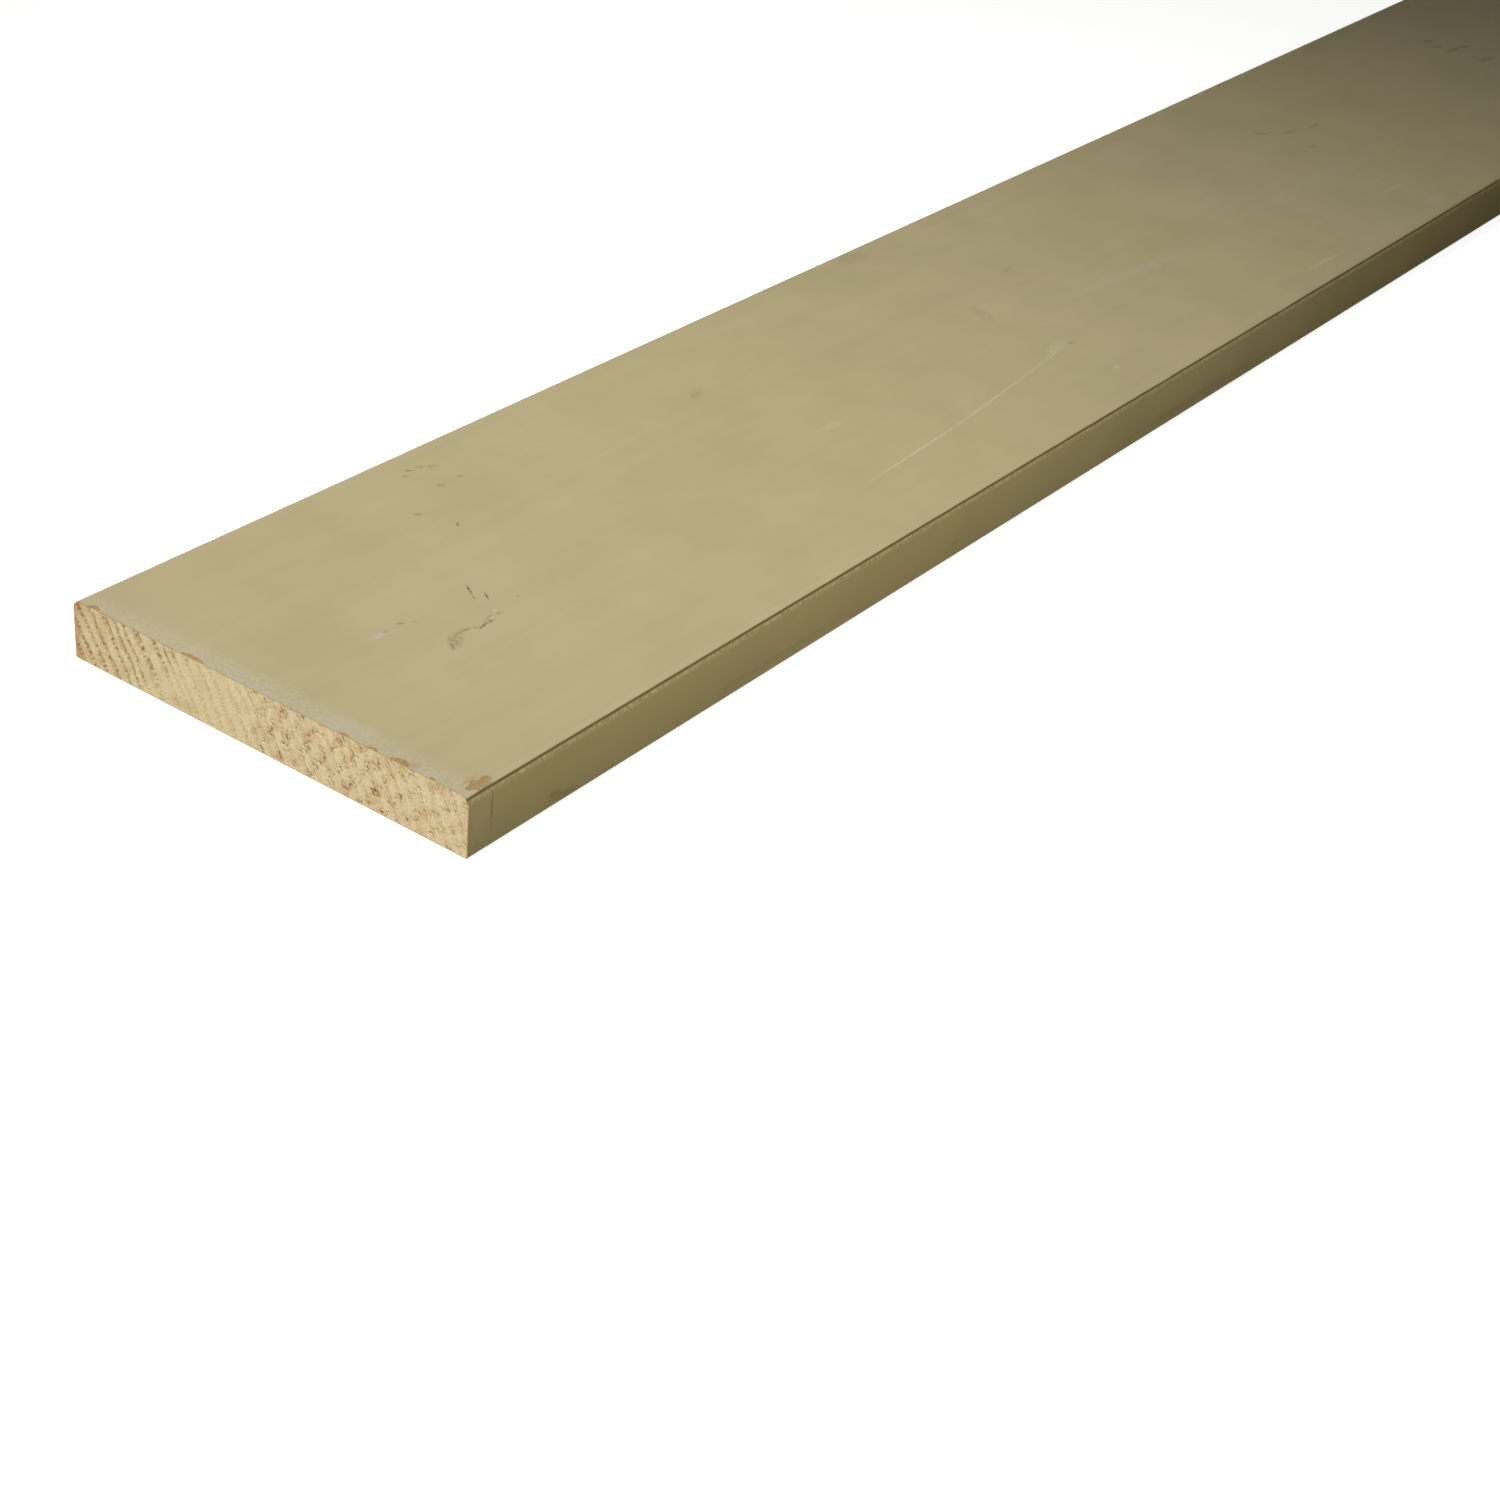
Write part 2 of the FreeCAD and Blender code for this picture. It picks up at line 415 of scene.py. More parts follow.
# ---------------------------------------------------------------------------------------------
# Face coat. A matt olive-beige factory primer, rolled over the face and a little way round its
# arrises, where it ends in a slightly thick lip. It has chipped where the saw broke out.
# ---------------------------------------------------------------------------------------------
FILM = 0.2 * MM                   # the dry primer's thickness
SEAM_TURN = math.radians(48.0)    # the seam's place round the arris, from the face
SEAM_HALF = 0.4 * MM              # half the open seam's width
LIP_STEP = 2.0 * MM               # spacing of the points along the coat
LIP_SWELL = 0.07 * MM             # how much thicker the lip is than the film
LIP_BAND = 0.02                   # points this near to the seam's turn are the lip, in radians
SWELL_RUN = 5 * MM                # the lip is thick and thin over this length
WANDER_RUN = 9 * MM               # it wanders over this length, by this much in radians
WANDER_TURN = 0.022
NICK_RUN = 31 * MM                # nicks go deeper: they come about this far apart ...
NICK_START = 0.42                 # ... where the noise is above this value ...
NICK_TURN = 0.25                  # ... and turn by this share of what is above it
EDGE_CREEP = 0.4                  # an edge coat's lip creeps only into the seam, by this share
SECTION_REACH = 0.01 * MM         # how near to a place of the section an edge has to be
coat_easing = FACE_EASING + FILM
board_low = Vector(cad_bounds[0])
board_high = Vector(cad_bounds[1])
arris_across = board_high.y - coat_easing
arris_height = board_high.z - coat_easing
chipped_end = board_low.x
length = board_high.x - board_low.x


def edge_across(side, across, height):
    """A test for an edge that runs along a coat at one place of its section."""
    def test(edge):
        start, finish = [vertex.co for vertex in edge.verts]
        near = all(math.hypot(end.y - side * across, end.z - height) < SECTION_REACH
                   for end in (start, finish))
        return near and abs(start.x - finish.x) > SECTION_REACH
    return test


def wander_lip(coat, side, turn):
    """Let the free lip of a coat wander along the arris, and swell it a little.

    A noise that is the same on every run moves the points, because no operator can follow one
    along an arc. Its last number picks a slice of it for each purpose.
    """
    for vertex in coat.data.vertices:
        out = vertex.co.y * side - arris_across
        up = vertex.co.z - arris_height
        if out < 0 or up < 0:
            continue
        angle = math.atan2(out, up)
        radius = math.hypot(out, up)
        if abs(angle - turn) > LIP_BAND:
            continue
        wander = noise.noise(Vector((vertex.co.x / WANDER_RUN, side, 0))) * WANDER_TURN
        nick = noise.noise(Vector((vertex.co.x / NICK_RUN, side, 5))) - NICK_START
        wander += max(0.0, nick) * NICK_TURN
        swell = 0.5 + noise.noise(Vector((vertex.co.x / SWELL_RUN, side, 9)))
        radius += LIP_SWELL * swell if radius > coat_easing - FILM / 2 else 0.0
        angle += wander if turn < SEAM_TURN else -abs(wander) * EDGE_CREEP
        vertex.co.y = side * (arris_across + radius * math.sin(angle))
        vertex.co.z = arris_height + radius * math.cos(angle)


def thicken(coat):
    """Turn a coat's outer surface into a closed film, its thickness inwards."""
    select_only(coat)
    film = coat.modifiers.new("film", "SOLIDIFY")
    film.thickness = FILM
    film.offset = -1
    film.use_even_offset = True
    bpy.ops.object.modifier_apply(modifier=film.name)


PLUG_DROP = 1.5 * MM  # a plug starts this far below the face, and ends as far above it
TORN_SHARE = 0.17     # how ragged a chip's outline is, as a share of its smaller size
WORN_SHARE = 0.25     # how ragged a gouge is, as a share of its depth or half width


def ragged_cutter(middle, reach, width, seed):
    """An upright plug with a torn outline, to knock a chip out of the face coat.

    The points of a flat disc are shaken, laid flat again and drawn upwards.
    """
    cutter = add_shape("chip", bpy.ops.mesh.primitive_circle_add, vertices=30, radius=1,
                       fill_type="NGON", location=middle, stretch=(reach, width / 2, 1))
    edit_parts(cutter, "FACE", lambda face: True)
    bpy.ops.transform.vertex_random(offset=min(reach, width) * TORN_SHARE, seed=seed)
    bpy.ops.transform.resize(value=(1, 1, 0))
    bpy.ops.mesh.extrude_region_move(TRANSFORM_OT_translate={"value": (0, 0, 2 * PLUG_DROP)})
    bpy.ops.mesh.select_all(action="SELECT")
    bpy.ops.mesh.normals_make_consistent(inside=False)
    leave_edit()
    return cutter


def groove_cutter(middle, half_length, half_width, turn, depth, seed):
    """A long shallow pebble, to scratch or gouge the face coat without going through it."""
    cutter = add_shape("gouge", bpy.ops.mesh.primitive_ico_sphere_add, subdivisions=3, radius=1,
                       stretch=(half_length, half_width, depth))
    edit_parts(cutter, "VERT", lambda vertex: True)
    bpy.ops.transform.vertex_random(offset=min(half_width, depth) * WORN_SHARE, seed=seed)
    leave_edit()
    cutter.rotation_euler.z = turn
    cutter.location = middle
    select_only(cutter)
    bpy.ops.object.transform_apply(location=True, rotation=True, scale=True)
    return cutter


PRIMER_WARM = "#aa9d78"  # where the film is thick
PRIMER_COOL = "#a79c75"  # where it is thin
SHADE_RAMP_HEIGHT = 18.0     # the painted light and shade ramp ends this far up from the underside, in millimetres


def primer(name, warm_hex, cool_hex, top_share=1.0, bottom_share=1.0):
    """Matt factory primer over planed pine: a dry, slightly chalky film, beige where it is thick
    and more olive where it is thin, that lets the low ridges of the grain through.

    Its patches are some 45 mm wide, its mottle 30 mm, and the grain's ridges 6 mm wide and
    110 mm long. The roller's stipple, 1 mm wide, shows only as relief. The two shares lighten or
    darken it from its top to its bottom: painted light and shade, for the way the light falls
    down an edge.
    """
    material, nodes, shader, place = new_material(name, 0.6, 1.48)
    shader.inputs["Specular IOR Level"].default_value = 0.35
    link = material.node_tree.links.new
    patch = add(nodes, "TexNoise", {"Vector": place, "Scale": 0.022, "Detail": 3.0})
    patch = add(nodes, "MapRange", {"Value": patch, 1: 0.38, 2: 0.62, 3: 0.0, 4: 1.0})
    colour = add(nodes, "Mix", {0: patch, 6: linear(cool_hex), 7: linear(warm_hex)},
                 data_type="RGBA")
    drawn = add(nodes, "Mapping", {"Vector": place, "Scale": (0.009, 0.16, 0.16)})
    grain = add(nodes, "TexNoise", {"Vector": drawn, "Scale": 1.0, "Detail": 3.0,
                                    "Distortion": 0.4})
    mottle = add(nodes, "TexNoise", {"Vector": place, "Scale": 0.035, "Detail": 4.0})
    tone = add(nodes, "Math", {0: mottle, 1: 2.0, 2: grain}, operation="MULTIPLY_ADD")
    tone = add(nodes, "MapRange", {"Value": tone, 1: 1.1, 2: 1.9, 3: 0.965, 4: 1.035})
    add(nodes, "SeparateXYZ", {"Vector": place})
    height = nodes[-1].outputs["Z"]
    # painted light and shade: the colour runs from the bottom share at the underside to the top
    # share at this height
    shade_ramp = add(nodes, "MapRange", {"Value": height, 1: 0.0, 2: SHADE_RAMP_HEIGHT,
                                     3: bottom_share, 4: top_share})
    tone = add(nodes, "Math", {0: tone, 1: shade_ramp}, operation="MULTIPLY")
    colour = add(nodes, "Mix", {0: 1.0, 6: colour, 7: tone}, data_type="RGBA",
                 blend_type="MULTIPLY")
    stipple = add(nodes, "TexNoise", {"Vector": place, "Scale": 0.9, "Detail": 2.0})
    relief = add(nodes, "Math", {0: grain, 1: 1.5, 2: stipple}, operation="MULTIPLY_ADD")
    link(add(nodes, "Bump", {"Height": relief, "Distance": 0.05 * MM, "Strength": 0.35}),
         shader.inputs["Normal"])
    link(colour, shader.inputs["Base Color"])
    return material, nodes, shader, place, colour


NO_LIMIT = 1.0e6  # a stroke goes on without end at right angles to its surface


def paint_marks(material, nodes, shader, place, colour, marks):
    """Lay soft-edged strokes of dirt, dust and wear, and of painted shade, over a material.

    Each is its two ends, half width, wander, tone and strength. Lengths are in millimetres, in
    the two directions that place gives. A coarse speckle 1 mm wide breaks the strokes up.
    One material holds about seventy of them: with more, the renderer draws it black.
    """
    add(nodes, "TexNoise", {"Vector": place, "Scale": 0.55, "Detail": 3.0})
    ragged = nodes[-1].outputs["Color"]
    shift = add(nodes, "VectorMath", {0: ragged, 1: (0.5, 0.5, 0.5)}, operation="SUBTRACT")
    speckle = add(nodes, "TexNoise", {"Vector": place, "Scale": 0.9, "Detail": 2.0})
    speckle = add(nodes, "MapRange", {"Value": speckle, 1: 0.38, 2: 0.58, 3: 0.2, 4: 1.0})
    for start_x, start_y, end_x, end_y, half_width, wander, tone, strength in marks:
        moved = add(nodes, "VectorMath", {0: shift, 1: (wander, wander, 0.0), 2: place},
                    operation="MULTIPLY_ADD")
        run = Vector((end_x - start_x, end_y - start_y))
        local = add(nodes, "Mapping", {
            "Vector": moved,
            "Location": ((start_x + end_x) / 2, (start_y + end_y) / 2, 0.0),
            "Rotation": (0.0, 0.0, math.atan2(run.y, run.x)),
            "Scale": (run.length / 2 + half_width, half_width, NO_LIMIT),
        }, vector_type="TEXTURE")
        add(nodes, "VectorMath", {0: local}, operation="LENGTH")
        mask = add(nodes, "MapRange", {"Value": nodes[-1].outputs["Value"], 1: 1.0, 2: 0.3,
                                       3: 0.0, 4: strength}, interpolation_type="SMOOTHSTEP")
        mask = add(nodes, "Math", {0: mask, 1: speckle}, operation="MULTIPLY")
        colour = add(nodes, "Mix", {0: mask, 6: colour, 7: linear(tone)}, data_type="RGBA")
    material.node_tree.links.new(colour, shader.inputs["Base Color"])


def make_face_coat():
    """A flat sheet whose two sides are spun round the arrises to the seams, then thickened."""
    coat = add_shape("primer_face", bpy.ops.mesh.primitive_grid_add, size=1,
                     x_subdivisions=round(length / LIP_STEP), y_subdivisions=1,
                     location=(0, 0, board_high.z), stretch=(length, 2 * arris_across, 1))
    turn = SEAM_TURN - SEAM_HALF / coat_easing
    for side in (1, -1):
        edit_parts(coat, "EDGE", edge_across(side, arris_across, board_high.z))
        bpy.ops.mesh.spin(steps=6, angle=turn, axis=(side, 0, 0),
                          center=(0, side * arris_across, arris_height))
        leave_edit()
    edit_parts(coat, "FACE", lambda face: True)
    bpy.ops.mesh.normals_make_consistent(inside=False)
    leave_edit()
    thicken(coat)
    for side in (1, -1):
        wander_lip(coat, side, turn)
    return coat


face_coat = make_face_coat()

CHIPS = [  # from the -Y edge, width along the end, reach along the board, in millimetres
    (13.0, 2.2, 1.0),
    (24.5, 6.5, 2.4),
    (34.0, 4.0, 1.2),
    (44.0, 4.0, 1.1),
    (101.0, 9.0, 1.6),
    (140.0, 4.5, 1.8),
]
for seed, (from_edge, width, reach) in enumerate(CHIPS):
    middle = (chipped_end, board_low.y + from_edge * MM, board_high.z - PLUG_DROP)
    combine(face_coat, ragged_cutter(middle, reach * MM, width * MM, seed), "DIFFERENCE")

# The primer knocked off beside the -Y arris.
CORNER_CHIP = (7.2, 3.0)  # its middle, from the chipped end and from the -Y edge, in mm
CORNER_REACH = 4.8 * MM   # half its length along the board
CORNER_WIDTH = 3.1 * MM
CORNER_SEED = 11
corner_middle = (chipped_end + CORNER_CHIP[0] * MM, board_low.y + CORNER_CHIP[1] * MM,
                 board_high.z - PLUG_DROP)
combine(face_coat, ragged_cutter(corner_middle, CORNER_REACH, CORNER_WIDTH, CORNER_SEED),
        "DIFFERENCE")

GOUGES = [  # both ends from the chipped end and the middle line, half width, depth, in mm
    (83.8, 1.4, 79.0, -6.3, 0.35, 0.14),
    (84.2, -5.4, 81.8, -9.0, 0.38, 0.15),
    (67.6, -18.6, 70.6, -17.6, 0.50, 0.12),
    (70.4, -17.6, 74.1, -17.9, 0.80, 0.10),
    (54.5, -20.0, 60.0, -17.0, 2.20, 0.06),
    (60.5, -15.4, 66.7, -16.4, 0.80, 0.07),
    (72.2, -15.9, 75.7, -15.9, 0.50, 0.08),
    (77.0, -16.2, 79.2, -17.0, 0.45, 0.08),
    (53.0, 0.1, 54.8, -1.2, 0.60, 0.07),
    (124.8, 63.4, 127.4, 61.6, 0.70, 0.06),
    (133.0, 60.3, 135.2, 58.6, 0.60, 0.08),
    (109.2, 27.0, 111.0, 29.0, 0.50, 0.08),
    (240.0, -44.8, 368.0, -32.8, 0.40, 0.03),
]
for seed, (start_x, start_y, end_x, end_y, half_width, depth) in enumerate(GOUGES):
    run = Vector((end_x - start_x, end_y - start_y)) * MM
    middle = (chipped_end + (start_x + end_x) / 2 * MM, (start_y + end_y) / 2 * MM, board_high.z)
    combine(face_coat, groove_cutter(middle, run.length / 2 + half_width * MM, half_width * MM,
                                     math.atan2(run.y, run.x), depth * MM, seed), "DIFFERENCE")

GRIME = "#776a45"   # dirt rubbed into the primer
DARK = "#4f4325"    # dirt packed into a gouge
PALE = "#c6bd9d"    # primer scratched or rubbed until it is chalky
DUST = "#b8af97"    # sawdust and thin primer along the sawn end
BLUISH = "#b2a89a"  # a cooler, greyish scuff
RUST = "#907446"    # resin, and bare wood seen through thin primer
SHADED = "#93865a"  # the strip that the face coat's lip keeps in the shade
MARKS = [  # both ends from the chipped end and the middle line, half width, wander, tone, strength
    (2.0, -160.0, 2.0, 160.0, 7.5, 3.0, DUST, 0.45),
    (1.0, -22.0, 5.0, -34.0, 5.0, 2.5, BLUISH, 0.40),
    (0.5, -54.0, 3.5, -62.0, 3.0, 1.5, BLUISH, 0.55),
    (0.5, -14.0, 2.0, 24.0, 2.0, 1.5, BLUISH, 0.45),
    (1.0, -52.0, 2.4, -54.0, 1.6, 1.0, RUST, 0.45),
    (3.0, -68.5, 10.0, -68.4, 1.0, 0.9, RUST, 0.45),
    (4.0, -72.8, 12.0, -72.7, 0.9, 0.6, GRIME, 0.55),
    (54.5, -20.0, 60.5, -16.5, 2.9, 1.4, GRIME, 0.50),
    (58.8, -14.8, 55.8, -18.2, 0.9, 0.7, GRIME, 0.50),
    (55.8, -18.2, 53.4, -21.0, 0.9, 0.6, GRIME, 0.65),
    (60.5, -15.4, 66.7, -16.4, 1.1, 1.0, GRIME, 0.75),
    (66.7, -16.8, 67.9, -18.4, 0.8, 0.4, DARK, 0.55),
    (67.6, -18.6, 70.6, -17.6, 0.65, 0.4, DARK, 0.90),
    (70.4, -17.6, 74.1, -17.9, 1.0, 0.6, DARK, 0.65),
    (72.2, -15.9, 75.7, -15.9, 0.7, 0.8, GRIME, 0.75),
    (77.0, -16.2, 79.2, -17.0, 0.6, 0.5, GRIME, 0.75),
    (64.3, -17.9, 65.4, -18.3, 0.6, 0.3, PALE, 0.60),
    (77.4, -15.0, 78.6, -14.5, 0.6, 0.3, PALE, 0.70),
    (73.8, -16.7, 75.2, -16.5, 0.5, 0.3, PALE, 0.65),
    (83.8, 1.4, 80.4, -4.2, 0.6, 0.15, DARK, 1.00),
    (80.4, -4.4, 79.0, -6.3, 0.4, 0.15, GRIME, 0.85),
    (84.2, -5.4, 81.8, -9.0, 0.6, 0.15, DARK, 1.00),
    (88.6, -14.0, 89.4, -14.0, 0.6, 0.3, GRIME, 0.60),
    (42.0, -0.8, 46.8, -0.9, 1.7, 0.8, BLUISH, 0.95),
    (46.6, -0.7, 48.0, -1.0, 0.8, 0.4, GRIME, 0.45),
    (53.0, 0.1, 54.8, -1.2, 0.9, 0.5, GRIME, 0.65),
    (57.0, -2.4, 57.8, -3.3, 0.7, 0.3, GRIME, 0.55),
    (124.6, 63.6, 127.6, 61.6, 0.9, 0.8, GRIME, 0.75),
    (129.6, 62.4, 131.6, 61.4, 1.0, 0.8, GRIME, 0.60),
    (132.6, 60.8, 135.4, 58.6, 0.9, 0.6, DARK, 0.55),
    (131.9, 60.2, 132.6, 58.0, 0.6, 0.5, GRIME, 0.55),
    (121.8, 61.2, 123.2, 60.2, 0.9, 0.6, GRIME, 0.45),
    (124.8, 49.4, 126.6, 48.4, 1.0, 0.7, GRIME, 0.60),
    (133.2, 49.4, 135.4, 48.6, 0.9, 0.6, GRIME, 0.65),
    (105.4, 41.6, 107.0, 40.0, 0.9, 0.5, GRIME, 0.65),
    (109.2, 27.0, 111.0, 29.0, 0.7, 0.4, DARK, 0.60),
    (234.0, 33.0, 241.0, 36.0, 3.0, 3.0, GRIME, 0.30),
    (366.0, -2.0, 372.0, 9.0, 4.0, 4.0, GRIME, 0.22),
    (370.0, 69.0, 382.0, 67.0, 6.0, 4.0, GRIME, 0.25),
    (409.0, 20.0, 415.0, 19.8, 1.6, 1.4, GRIME, 0.35),
    (248.0, -12.0, 254.0, -12.0, 2.8, 2.0, PALE, 0.28),
    (362.0, -56.5, 366.0, -55.5, 1.4, 1.0, PALE, 0.45),
    (212.0, -45.4, 300.0, -40.8, 0.75, 0.5, PALE, 0.60),
    (272.0, -42.6, 345.0, -35.6, 0.75, 0.5, PALE, 0.55),
    (325.0, -37.6, 371.0, -32.6, 0.8, 0.7, PALE, 0.42),
    (356.0, -33.0, 371.0, -30.4, 3.0, 2.0, PALE, 0.34),
    (369.6, -33.0, 373.2, -33.6, 0.9, 0.5, DARK, 0.45),
    (400.0, -10.0, 463.0, -16.5, 5.0, 4.0, BLUISH, 0.20),
    (440.0, -15.5, 500.0, -20.0, 4.5, 3.0, BLUISH, 0.28),
    (540.0, -18.0, 690.0, -19.0, 7.0, 6.0, BLUISH, 0.18),
    (606.0, -44.0, 625.6, -47.4, 1.3, 1.6, PALE, 0.50),
    (503.0, -62.0, 529.0, -63.6, 2.0, 2.0, PALE, 0.42),
    (610.0, -66.0, 626.0, -63.0, 5.0, 4.0, BLUISH, 0.30),
    (633.0, 28.0, 636.0, 23.6, 1.6, 1.2, DARK, 0.40),
    (642.0, 19.6, 652.0, 15.6, 1.8, 1.6, GRIME, 0.50),
    (658.0, 14.2, 668.0, 14.6, 1.6, 1.6, GRIME, 0.42),
    (634.0, 4.0, 639.0, 0.6, 1.8, 1.6, GRIME, 0.35),
    (824.0, 33.6, 830.0, 32.0, 2.2, 1.6, DARK, 0.45),
    (819.0, 27.6, 824.0, 25.4, 2.2, 1.6, DARK, 0.45),
    (818.0, 19.0, 828.0, 17.4, 2.4, 1.8, DARK, 0.50),
    (829.0, 18.0, 836.0, 16.0, 2.0, 1.6, DARK, 0.45),
    (816.0, 2.0, 830.0, -1.0, 2.2, 2.0, DARK, 0.45),
]
face_primer = primer("primer_face", PRIMER_WARM, PRIMER_COOL)
paint_marks(*face_primer, MARKS)
face_coat.data.materials.clear()
face_coat.data.materials.append(face_primer[0])
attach(face_coat, "root")
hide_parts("face_coat")


# ---------------------------------------------------------------------------------------------
# Edge coats. The same primer on the two narrow edges, each sprayed on its own pass: it starts
# just under the face coat's lip and turns the sharp back arris on to the underside.
# ---------------------------------------------------------------------------------------------
back_easing = BACK_EASING + FILM
back_across = board_high.y - back_easing
back_height = board_low.z + back_easing
CRACK_PLACE = 9.2 * MM  # the hairline crack's place from the chipped end
CRACK_WIDTH = 0.25 * MM
CRACK_TOP = 1.9 * MM    # it starts this far below the face
CRACK_LENGTH = 12 * MM


def make_edge_coat(name, side):
    """An upright sheet spun up the face arris to the seam and round the back one, thickened."""
    upright = add_shape(name, bpy.ops.mesh.primitive_grid_add, size=1,
                        x_subdivisions=round(length / LIP_STEP), y_subdivisions=8,
                        location=(0, side * board_high.y, (arris_height + back_height) / 2),
                        rotation=(math.pi / 2, 0, 0),
                        stretch=(length, arris_height - back_height, 1))
    turn = SEAM_TURN + SEAM_HALF / coat_easing
    edit_parts(upright, "EDGE", edge_across(side, board_high.y, arris_height))
    bpy.ops.mesh.spin(steps=7, angle=math.pi / 2 - turn, axis=(-side, 0, 0),
                      center=(0, side * arris_across, arris_height))
    leave_edit()
    edit_parts(upright, "EDGE", edge_across(side, board_high.y, back_height))
    bpy.ops.mesh.spin(steps=4, angle=math.pi / 2, axis=(side, 0, 0),
                      center=(0, side * back_across, back_height))
    leave_edit()
    edit_parts(upright, "FACE", lambda face: True)
    bpy.ops.mesh.normals_make_consistent(inside=False)
    leave_edit()
    thicken(upright)
    wander_lip(upright, side, turn)
    return upright


right_coat = make_edge_coat("primer_right_edge", -1)
left_coat = make_edge_coat("primer_left_edge", 1)
crack = add_shape("crack", bpy.ops.mesh.primitive_cube_add, size=1,
                  location=(chipped_end + CRACK_PLACE, board_low.y,
                            board_high.z - CRACK_TOP - CRACK_LENGTH / 2),
                  stretch=(CRACK_WIDTH, 3 * FILM, CRACK_LENGTH))
combine(right_coat, crack, "DIFFERENCE")

# Both ends from the chipped end and up from the underside, then as above. The first is the
# shade under the lip: it is longer than the board, so that its soft ends lie off it.
EDGE_MARKS = [
    (-2000.0, 17.9, 3200.0, 17.9, 2.0, 0.3, SHADED, 0.95),
    # a faint lighter band up the edge next to the chipped end
    (4.0, 1.0, 4.0, 16.0, 5.0, 1.0, PALE, 0.14),
    (33.0, 4.0, 37.5, 3.2, 1.8, 1.4, RUST, 0.70),
    (31.0, 2.2, 46.0, 1.6, 1.4, 1.2, GRIME, 0.50),
    (3.6, 1.6, 3.7, 4.4, 0.25, 0.1, DARK, 0.70),
    (9.3, 6.0, 9.4, 17.0, 0.35, 0.2, DARK, 0.60),
    (16.0, 13.2, 16.6, 13.2, 0.3, 0.1, PALE, 0.50),
    (60.0, 13.0, 62.0, 12.6, 0.5, 0.4, GRIME, 0.30),
    (100.0, 4.0, 170.0, 3.0, 1.6, 3.0, GRIME, 0.18),
    (230.0, 5.0, 236.0, 4.6, 1.0, 1.2, GRIME, 0.30),
    (330.0, 4.0, 470.0, 3.4, 2.6, 4.0, GRIME, 0.25),
]
EDGE_WARM = "#b8a671"     # the face's primer, painted lighter and yellower on the edges for how the light falls there
EDGE_COOL = "#b4a36d"
EDGE_TOP_SHARE = 1.06     # painted light: lighter under the lip ...
EDGE_BOTTOM_SHARE = 0.86  # ... and painted shade: darker towards the underside
edge_primer, nodes, shader, place, colour = primer("primer_edge", EDGE_WARM, EDGE_COOL,
                                                   EDGE_TOP_SHARE, EDGE_BOTTOM_SHARE)
add(nodes, "SeparateXYZ", {"Vector": place})
along, up = nodes[-1].outputs["X"], nodes[-1].outputs["Z"]
along_and_up = add(nodes, "CombineXYZ", {"X": along, "Y": up})
paint_marks(edge_primer, nodes, shader, along_and_up, colour, EDGE_MARKS)
for coat, node in ((right_coat, "right_edge_coat"), (left_coat, "left_edge_coat")):
    coat.data.materials.clear()
    coat.data.materials.append(edge_primer)
    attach(coat, "root")
    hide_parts(node)


# ---------------------------------------------------------------------------------------------
# Underside coat. The same primer on the flat back of the board, laid on in one pass. It meets
# the two edge coats where they have turned the sharp back arrises.
# ---------------------------------------------------------------------------------------------
BACK_COLUMNS = 240  # the flat film's grid, in squares of about 5 mm
BACK_ROWS = 24
under_coat = add_shape("primer_underside", bpy.ops.mesh.primitive_grid_add, size=1,
                       x_subdivisions=BACK_COLUMNS, y_subdivisions=BACK_ROWS,
                       location=(0, 0, board_low.z), rotation=(math.pi, 0, 0),
                       stretch=(length, 2 * back_across, 1))
thicken(under_coat)
under_coat.data.materials.clear()
under_coat.data.materials.append(primer("primer_back", PRIMER_WARM, PRIMER_COOL)[0])
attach(under_coat, "root")
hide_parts("underside_coat")


# ---------------------------------------------------------------------------------------------
# Floor, light and camera. A pale round table top with a wall round it, that stays white of
# itself and throws no light on the board. Five soft lamps light the chipped end and leave the
# middle dim. Three weak ones keep the +Y edge and the far end from going black.
# ---------------------------------------------------------------------------------------------
TABLE_RADIUS = 6.0
WALL_BANDS = (1.0, 5.0)  # the wall's two bands, one above the other, in metres
TABLE_GAP = 0.2 * MM     # a board is never quite flat, so it stands this far off the table
sweep = add_shape("table_top", bpy.ops.mesh.primitive_circle_add, vertices=96, fill_type="NGON",
                  radius=TABLE_RADIUS, location=(0, 0, board_low.z - TABLE_GAP))
edit_parts(sweep, "EDGE", lambda edge: True)
for band in WALL_BANDS:
    bpy.ops.mesh.extrude_edges_move(TRANSFORM_OT_translate={"value": (0, 0, band)})
leave_edit()

# Matt white acrylic sheet. It glows of itself, so that it stays an even white.
acrylic, _, shader, _ = new_material("white_acrylic", 0.9, 1.45)
shader.inputs["Base Color"].default_value = linear("#a0a09e")
shader.inputs["Emission Color"].default_value = linear("#fdfdfc")
shader.inputs["Emission Strength"].default_value = 0.86
sweep.data.materials.append(acrylic)
sweep.visible_diffuse = False
sweep.visible_glossy = False


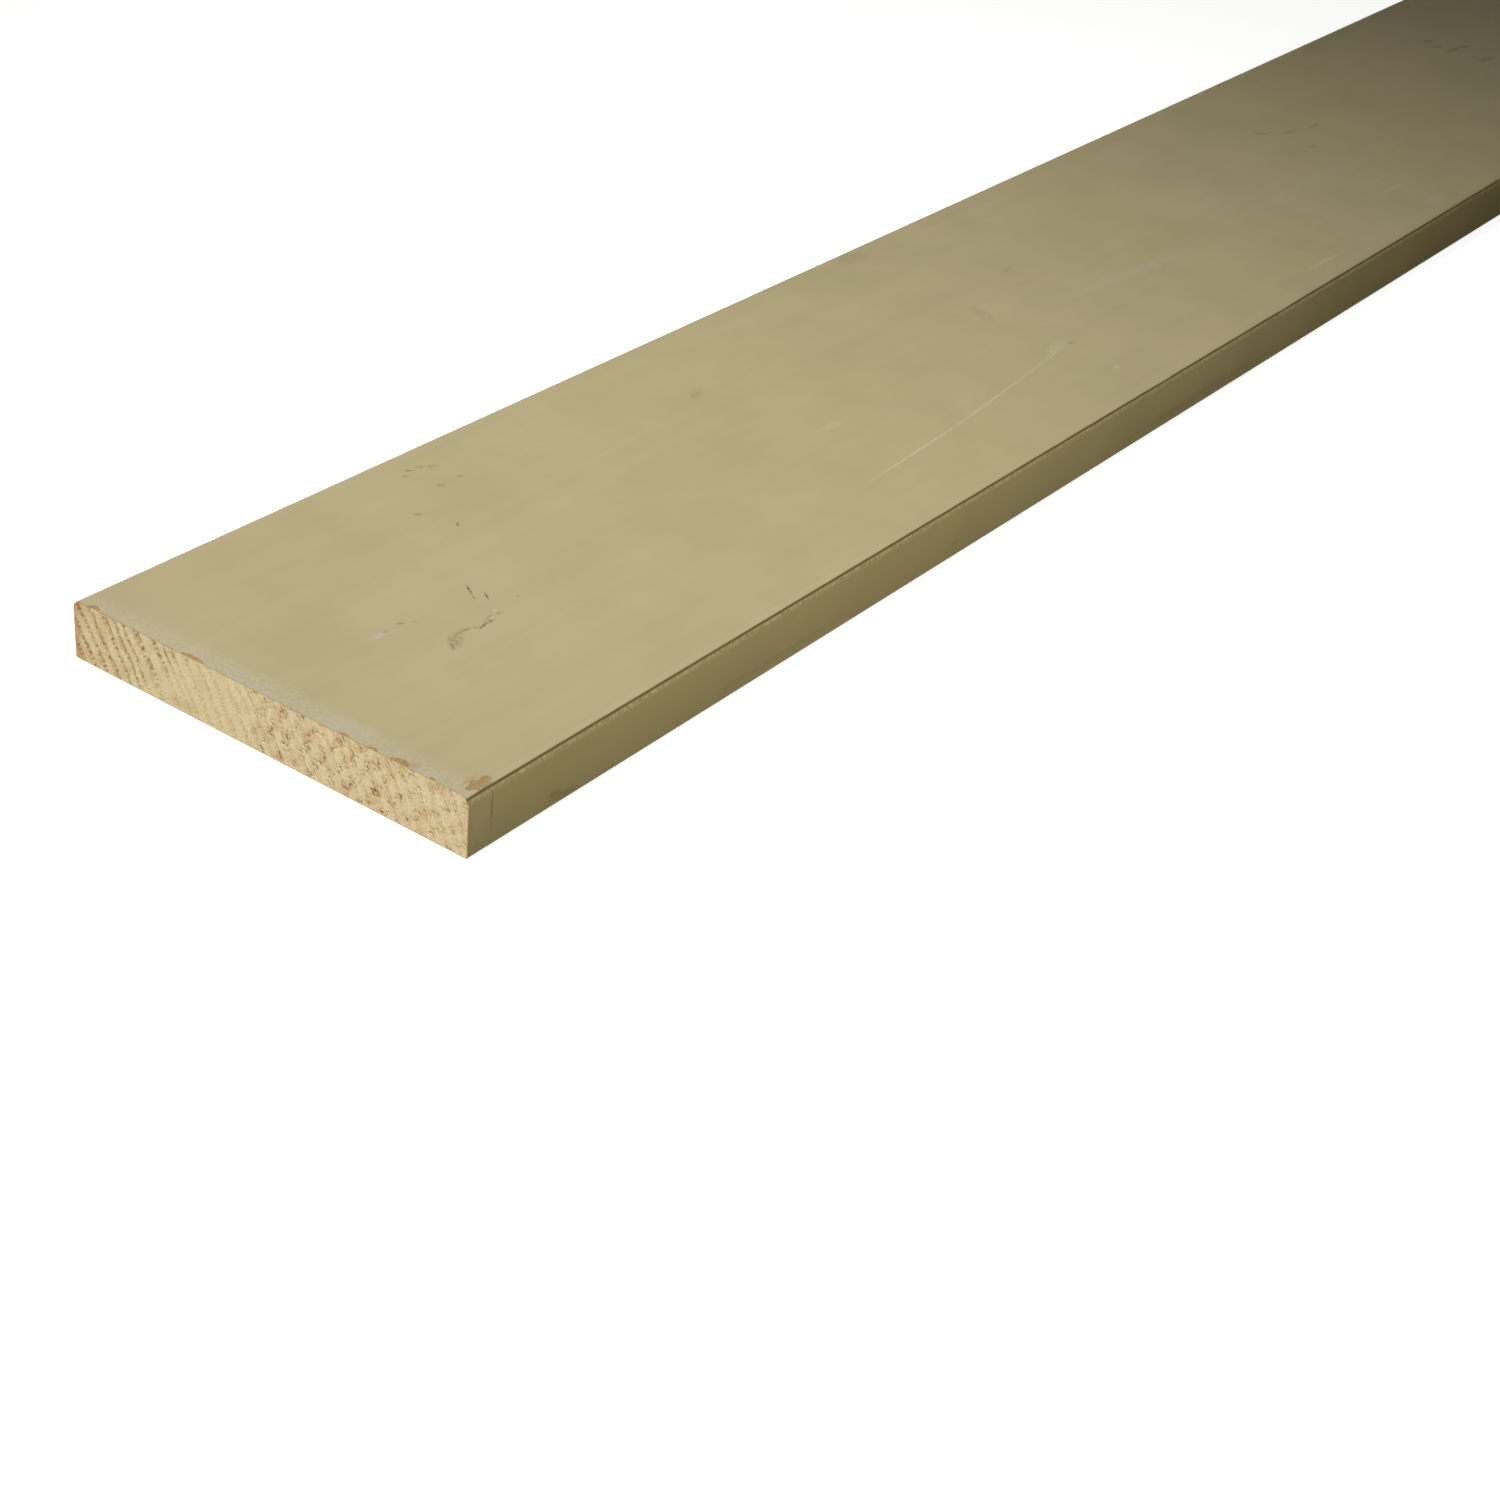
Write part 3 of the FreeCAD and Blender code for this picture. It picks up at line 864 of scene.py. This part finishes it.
def add_lamp(name, place, target, watts, spread, radius):
    """A soft round lamp whose beam, spread degrees wide, fades to nothing at its rim."""
    light = bpy.data.lights.new(name, "SPOT")
    light.energy = watts
    light.spot_size = math.radians(spread)
    light.spot_blend = 1.0
    light.shadow_soft_size = radius
    lamp = bpy.data.objects.new(name, light)
    bpy.context.scene.collection.objects.link(lamp)
    lamp.location = place
    lamp.rotation_euler = (Vector(target) - Vector(place)).to_track_quat("-Z", "Y").to_euler()


# Name, place, target, watts, beam in degrees, and the lamp's radius.
add_lamp("key", (-1.1, 0.45, 1.5), (-0.29, 0.06, 0.0), 59.5, 39.2, 0.25)
add_lamp("top", (-0.7, 0.1, 1.6), (-0.4, 0.0, 0.0), 38.0, 43.0, 0.25)
add_lamp("front", (-1.7, -0.2, 0.7), (-0.6, 0.0, 0.0), 54.0, 46.0, 0.3)
add_lamp("side_wide", (-1.0, -1.3, 0.8), (-0.4, -0.07, 0.0), 27.0, 46.0, 0.4)
add_lamp("side_low", (-1.0, -1.1, 0.35), (-0.42, -0.07, 0.0), 28.0, 33.0, 0.3)
add_lamp("left_fill", (0.2, 1.7, 0.08), (0.15, 0.07, 0.01), 50.0, 75.0, 0.15)
add_lamp("far_fill", (1.9, 0.2, 0.07), (0.6, 0.0, 0.01), 22.0, 24.0, 0.15)
add_lamp("far_top", (0.7, 0.0, 1.2), (0.68, 0.0, 0.0), 9.0, 30.0, 0.15)
world = bpy.data.worlds.new("studio")
world.use_nodes = True
background = world.node_tree.nodes["Background"]
background.inputs["Color"].default_value = (1, 1, 1, 1)
background.inputs["Strength"].default_value = 0.02
bpy.context.scene.world = world
bpy.context.scene.view_settings.view_transform = "Standard"

CAMERA_LENS = 64.78017
CAMERA_PLACE = (-1.039476, -0.450351, 0.401045)
CAMERA_TURN = (57.838875, -4.616636, -53.504217)  # in degrees about X, Y and Z
view = bpy.data.cameras.new("camera")
view.lens = CAMERA_LENS
camera = bpy.data.objects.new("camera", view)
bpy.context.scene.collection.objects.link(camera)
camera.location = CAMERA_PLACE
camera.rotation_euler = [math.radians(turn) for turn in CAMERA_TURN]
bpy.context.scene.camera = camera
